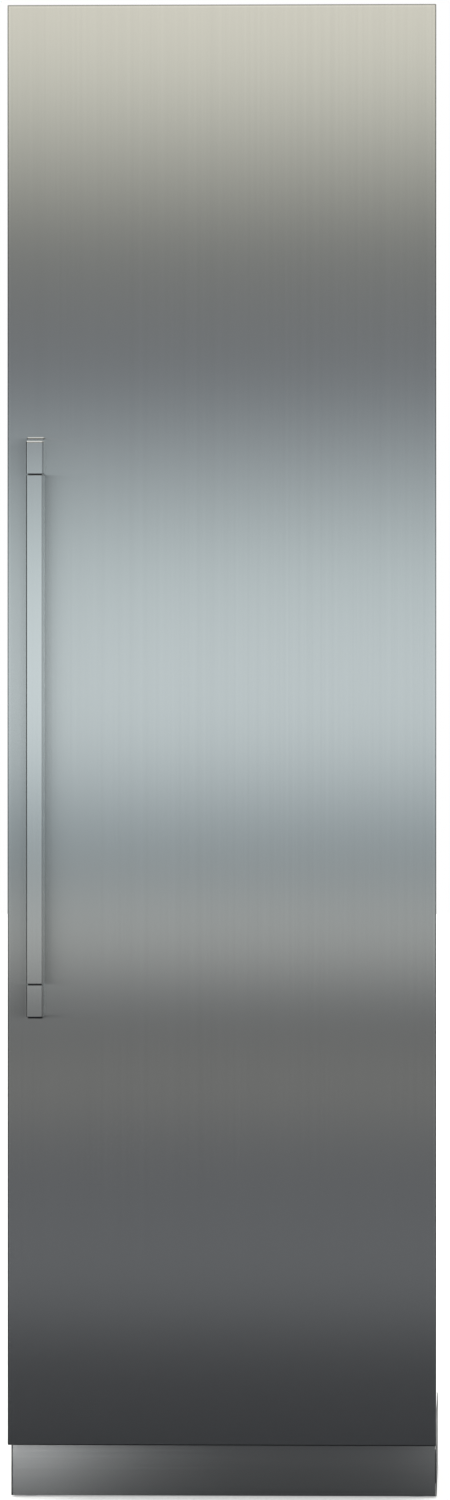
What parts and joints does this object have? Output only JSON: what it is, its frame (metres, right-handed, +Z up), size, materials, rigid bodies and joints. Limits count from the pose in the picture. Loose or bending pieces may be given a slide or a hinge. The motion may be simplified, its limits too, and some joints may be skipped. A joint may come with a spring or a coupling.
{
  "type": "column refrigerator",
  "caption": "Tall built-in column refrigerator with a brushed steel door hinged on the right, a square bar handle, a steel toe kick, glass shelves, drawers, door racks and a rear cooling unit.",
  "frame": {"origin": "on the floor, at the middle of the whole footprint with the handle", "axes": "+X to the viewer's right, +Y from the door to the back, +Z up"},
  "size_m": [0.604, 0.688, 2.1115],
  "materials": {
    "door_steel": "vertically brushed stainless steel",
    "handle_steel": "brushed stainless steel bar",
    "kick_steel": "horizontally brushed stainless steel",
    "grey_paint": "satin grey powder paint",
    "black_paint": "satin black paint",
    "zinc_steel": "zinc-plated steel",
    "foam": "rigid polyurethane foam",
    "door_body": "foamed door body in a grey moulded edge",
    "liner_white": "moulded white liner",
    "gasket": "soft grey magnetic seal",
    "grey_plastic": "grey moulded plastic",
    "white_plastic": "white moulded plastic",
    "clear_plastic": "clear moulded plastic",
    "glass": "tempered clear glass",
    "trim": "satin aluminium trim",
    "aluminium": "plain aluminium fins",
    "diffuser": "milky light diffuser"
  },
  "bodies": {
    "cabinet": {"side_panel_left": "grey_paint", "side_panel_right": "grey_paint", "top_panel": "grey_paint", "back_panel": "zinc_steel", "machine_cover": "zinc_steel", "insulation": "foam", "inner_liner": "liner_white", "base_rail_left": "black_paint", "base_rail_right": "black_paint", "base_pan": "zinc_steel", "toe_kick": "kick_steel", "compressor": "black_paint", "condenser": "black_paint", "condenser_fan_shroud": "grey_plastic", "control_box": "grey_plastic", "hinge_plate_top": "zinc_steel", "hinge_plate_bottom": "zinc_steel", "hinge_pin_top": "zinc_steel", "hinge_pin_bottom": "zinc_steel", "air_duct": "white_plastic", "evaporator": "aluminium", "light_strip_left": "diffuser", "light_strip_right": "diffuser", "control_panel": "grey_plastic", "drawer_cover": "glass", "shelf_glass_1": "glass", "shelf_glass_2": "glass", "shelf_glass_4": "glass", "shelf_trim_1": "trim", "shelf_trim_2": "trim", "shelf_trim_4": "trim", "split_shelf_rear": "glass", "drawer_rail_lower_left": "white_plastic", "drawer_rail_lower_right": "white_plastic", "drawer_rail_upper_left": "white_plastic", "drawer_rail_upper_right": "white_plastic"},
    "door": {"door_skin": "door_steel", "door_core": "door_body", "door_liner": "liner_white", "door_gasket": "gasket", "handle_bar": "handle_steel", "handle_post_top": "handle_steel", "handle_post_bottom": "handle_steel", "hinge_bush_top": "white_plastic", "hinge_bush_bottom": "white_plastic"},
    "split_plate": {"split_shelf_front": "glass"},
    "condenser_fan": {"condenser_fan_rotor": "grey_plastic"},
    "evaporator_fan": {"evaporator_fan_rotor": "white_plastic"},
    "lower_drawer": {"drawer_bin_lower": "clear_plastic", "drawer_front_lower": "clear_plastic"},
    "upper_drawer": {"drawer_bin_upper": "clear_plastic", "drawer_front_upper": "clear_plastic"},
    "rack_1": {"door_rack_1": "clear_plastic"},
    "rack_2": {"door_rack_2": "clear_plastic"},
    "rack_3": {"door_rack_3": "clear_plastic"},
    "rack_4": {"door_rack_4": "clear_plastic"},
    "front_left_foot": {"foot_front_left": "zinc_steel"},
    "front_right_foot": {"foot_front_right": "zinc_steel"},
    "rear_left_foot": {"foot_rear_left": "zinc_steel"},
    "rear_right_foot": {"foot_rear_right": "zinc_steel"}
  },
  "joints": [
    {"name": "door_hinge", "type": "hinge", "parent": "cabinet", "child": "door", "pos_m": [0.2845, -0.241, 0.0825], "axis": [0, 0, 1], "range_deg": [0, 115]},
    {"name": "upper_drawer_slide", "type": "slide", "parent": "cabinet", "child": "upper_drawer", "axis": [0, -1, 0], "range_m": [0, 0.3]},
    {"name": "lower_drawer_slide", "type": "slide", "parent": "cabinet", "child": "lower_drawer", "axis": [0, -1, 0], "range_m": [0, 0.15]},
    {"name": "split_plate_slide", "type": "slide", "parent": "cabinet", "child": "split_plate", "axis": [0, 1, 0], "range_m": [0, 0.15]},
    {"name": "condenser_fan_spin", "type": "hinge", "parent": "cabinet", "child": "condenser_fan", "pos_m": [0.012, 0.247, 0.1006], "axis": [1, 0, 0], "continuous": true},
    {"name": "evaporator_fan_spin", "type": "hinge", "parent": "cabinet", "child": "evaporator_fan", "pos_m": [0, 0.2526, 0.7806], "axis": [0, 1, 0], "continuous": true},
    {"name": "rack_1_lift", "type": "slide", "parent": "door", "child": "rack_1", "axis": [0, 0, 1], "range_m": [0, 0.02]},
    {"name": "rack_2_lift", "type": "slide", "parent": "door", "child": "rack_2", "axis": [0, 0, 1], "range_m": [0, 0.02]},
    {"name": "rack_3_lift", "type": "slide", "parent": "door", "child": "rack_3", "axis": [0, 0, 1], "range_m": [0, 0.02]},
    {"name": "rack_4_lift", "type": "slide", "parent": "door", "child": "rack_4", "axis": [0, 0, 1], "range_m": [0, 0.02]},
    {"name": "front_left_foot_screw", "type": "slide", "parent": "cabinet", "child": "front_left_foot", "axis": [0, 0, 1], "range_m": [-0.016, 0]},
    {"name": "front_right_foot_screw", "type": "slide", "parent": "cabinet", "child": "front_right_foot", "axis": [0, 0, 1], "range_m": [-0.016, 0]},
    {"name": "rear_left_foot_screw", "type": "slide", "parent": "cabinet", "child": "rear_left_foot", "axis": [0, 0, 1], "range_m": [-0.016, 0]},
    {"name": "rear_right_foot_screw", "type": "slide", "parent": "cabinet", "child": "rear_right_foot", "axis": [0, 0, 1], "range_m": [-0.016, 0]}
  ],
  "couplings": [
    {"joint": "upper_drawer_slide", "follows": "door_hinge", "m_per_rad": 0.1494},
    {"joint": "lower_drawer_slide", "follows": "door_hinge", "m_per_rad": 0.0747}
  ]
}
